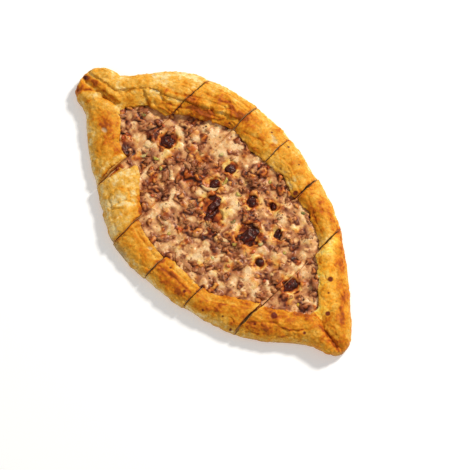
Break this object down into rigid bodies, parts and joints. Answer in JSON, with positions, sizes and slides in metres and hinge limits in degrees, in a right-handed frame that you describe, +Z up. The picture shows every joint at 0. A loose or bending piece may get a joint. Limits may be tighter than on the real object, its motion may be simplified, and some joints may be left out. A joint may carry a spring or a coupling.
{
  "type": "turkish pide",
  "caption": "Boat-shaped baked flatbread with folded rims around an open minced meat and cheese filling, cut across into slices.",
  "frame": {"origin": "centre of the footprint, on the surface the bread rests on", "axes": "+X along the boat from the folded bow to the stern, +Y to its right-hand side, +Z up"},
  "size_m": [0.3585, 0.1926, 0.0217],
  "materials": {
    "baked_dough": "dry golden-brown baked dough, paler on folds, browner on ridges",
    "meat_and_cheese_filling": "pinkish-brown minced meat under shiny cream cheese with toasted patches",
    "charred_topping": "glossy charred black-red"
  },
  "bodies": {
    "root": {"charred_10_slice_3": "charred_topping", "charred_1_slice_3": "charred_topping", "charred_1_slice_4": "charred_topping", "charred_2_slice_4": "charred_topping", "charred_3_slice_2": "charred_topping", "charred_4_slice_4": "charred_topping", "charred_5_slice_4": "charred_topping", "charred_6_slice_3": "charred_topping", "charred_7_slice_5": "charred_topping", "charred_8_slice_5": "charred_topping", "charred_9_slice_6": "charred_topping", "crust_1": "baked_dough", "crust_2": "baked_dough", "crust_3": "baked_dough", "crust_4": "baked_dough", "crust_5": "baked_dough", "crust_6": "baked_dough", "filling_1": "meat_and_cheese_filling", "filling_2": "meat_and_cheese_filling", "filling_3": "meat_and_cheese_filling", "filling_4": "meat_and_cheese_filling", "filling_5": "meat_and_cheese_filling", "filling_6": "meat_and_cheese_filling"}
  },
  "joints": []
}
